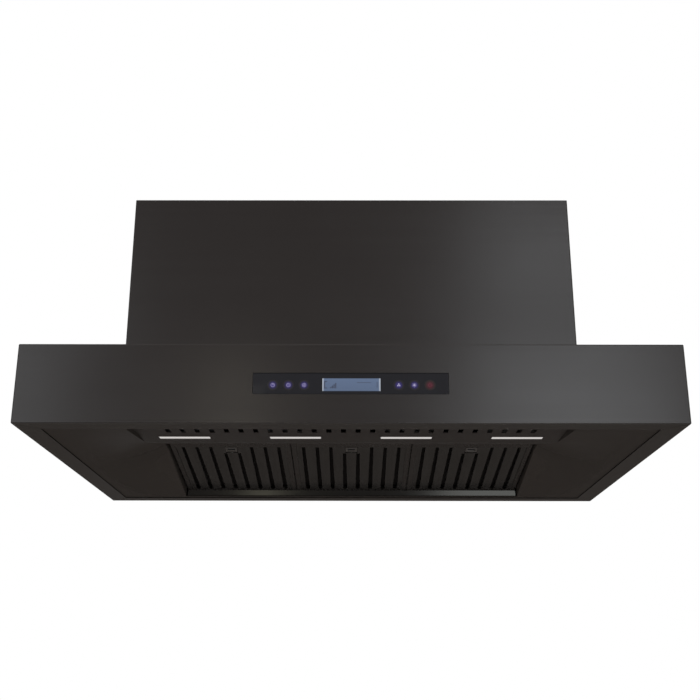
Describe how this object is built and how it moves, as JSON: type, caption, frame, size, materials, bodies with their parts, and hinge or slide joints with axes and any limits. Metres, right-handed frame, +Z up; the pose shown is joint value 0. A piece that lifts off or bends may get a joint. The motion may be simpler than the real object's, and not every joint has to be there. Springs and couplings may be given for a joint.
{
  "type": "island range hood",
  "caption": "Ceiling-hung range hood: box canopy, duct cover, touch panel, LED bars, hinged baffle filters with slide latches, blower and backdraft damper.",
  "frame": {"origin": "middle of the rim plane, the lowest face of the canopy's return flange", "axes": "+X to the right along the width seen from the front, -Y out of the front face with the control panel, +Z up to the ceiling"},
  "size_m": [0.9144, 0.62, 0.4076],
  "materials": {
    "black_steel": "black stainless, horizontal brushed grain, satin",
    "dark_steel": "black stainless, inner panels, satin",
    "filter_steel": "black stainless, polished baffles",
    "bright_steel": "bright stainless",
    "galvanised": "galvanised sheet, spangled",
    "spring_steel": "plated spring wire",
    "black_glass": "black toughened glass, gloss",
    "lcd": "backlit display",
    "lens": "frosted diffuser",
    "black_plastic": "moulded plastic",
    "white_plastic": "moulded plastic",
    "circuit": "circuit board",
    "motor_paint": "black enamel",
    "cable": "cable jacket"
  },
  "bodies": {
    "hood": {"blower_box": "galvanised", "cable_gland": "black_plastic", "canopy_shell": "black_steel", "ceiling_frame": "galvanised", "control_glass": "black_glass", "control_housing": "black_plastic", "control_lead": "cable", "damper_pin": "bright_steel", "duct_collar": "galvanised", "duct_cover": "black_steel", "filter_rail": "dark_steel", "grease_gutter": "dark_steel", "hanging_post_1": "galvanised", "hanging_post_2": "galvanised", "hanging_post_3": "galvanised", "hanging_post_4": "galvanised", "inlet_ring_left": "galvanised", "inlet_ring_right": "galvanised", "junction_box": "galvanised", "junction_cover": "galvanised", "lamp_lead": "cable", "lcd_module": "lcd", "led_driver": "white_plastic", "led_housing_1": "galvanised", "led_housing_2": "galvanised", "led_housing_3": "galvanised", "led_housing_4": "galvanised", "led_lens_1": "lens", "led_lens_2": "lens", "led_lens_3": "lens", "led_lens_4": "lens", "light_panel": "dark_steel", "motor": "motor_paint", "motor_bracket": "galvanised", "motor_capacitor": "white_plastic", "outlet_transition": "galvanised", "scroll_left": "galvanised", "scroll_right": "galvanised", "touch_board": "circuit", "underside_pan": "dark_steel"},
    "blower_rotor": {"motor_shaft": "bright_steel", "blower_wheel_left": "galvanised", "blower_wheel_right": "galvanised"},
    "damper_front": {"damper_flap_front": "galvanised"},
    "damper_rear": {"damper_flap_rear": "galvanised"},
    "filter_1": {"filter_frame_1": "filter_steel", "lower_baffles_1": "filter_steel", "upper_baffles_1": "filter_steel", "latch_spring_1": "spring_steel"},
    "latch_1": {"filter_latch_1": "dark_steel"},
    "filter_2": {"filter_frame_2": "filter_steel", "lower_baffles_2": "filter_steel", "upper_baffles_2": "filter_steel", "latch_spring_2": "spring_steel"},
    "latch_2": {"filter_latch_2": "dark_steel"},
    "filter_3": {"filter_frame_3": "filter_steel", "lower_baffles_3": "filter_steel", "upper_baffles_3": "filter_steel", "latch_spring_3": "spring_steel"},
    "latch_3": {"filter_latch_3": "dark_steel"}
  },
  "joints": [
    {"name": "filter_hinge_1", "type": "hinge", "parent": "hood", "child": "filter_1", "pos_m": [-0.205, 0.27, 0.0135], "axis": [1, 0, 0], "range_deg": [0, 60]},
    {"name": "latch_slide_1", "type": "slide", "parent": "filter_1", "child": "latch_1", "axis": [0, 0.9863, -0.165], "range_m": [0, 0.005], "stiffness_N_per_m": 150, "springref_m": -0.004, "deforming": ["latch_spring_1"]},
    {"name": "filter_hinge_2", "type": "hinge", "parent": "hood", "child": "filter_2", "pos_m": [0, 0.27, 0.0135], "axis": [1, 0, 0], "range_deg": [0, 60]},
    {"name": "latch_slide_2", "type": "slide", "parent": "filter_2", "child": "latch_2", "axis": [0, 0.9863, -0.165], "range_m": [0, 0.005], "stiffness_N_per_m": 150, "springref_m": -0.004, "deforming": ["latch_spring_2"]},
    {"name": "filter_hinge_3", "type": "hinge", "parent": "hood", "child": "filter_3", "pos_m": [0.205, 0.27, 0.0135], "axis": [1, 0, 0], "range_deg": [0, 60]},
    {"name": "latch_slide_3", "type": "slide", "parent": "filter_3", "child": "latch_3", "axis": [0, 0.9863, -0.165], "range_m": [0, 0.005], "stiffness_N_per_m": 150, "springref_m": -0.004, "deforming": ["latch_spring_3"]},
    {"name": "blower_spin", "type": "hinge", "parent": "hood", "child": "blower_rotor", "pos_m": [0, -0.034, 0.175], "axis": [1, 0, 0], "continuous": true},
    {"name": "damper_front_swing", "type": "hinge", "parent": "hood", "child": "damper_front", "pos_m": [0, 0, 0.326], "axis": [-1, 0, 0], "range_deg": [0, 75]},
    {"name": "damper_rear_swing", "type": "hinge", "parent": "hood", "child": "damper_rear", "pos_m": [0, 0, 0.326], "axis": [1, 0, 0], "range_deg": [0, 75]}
  ]
}
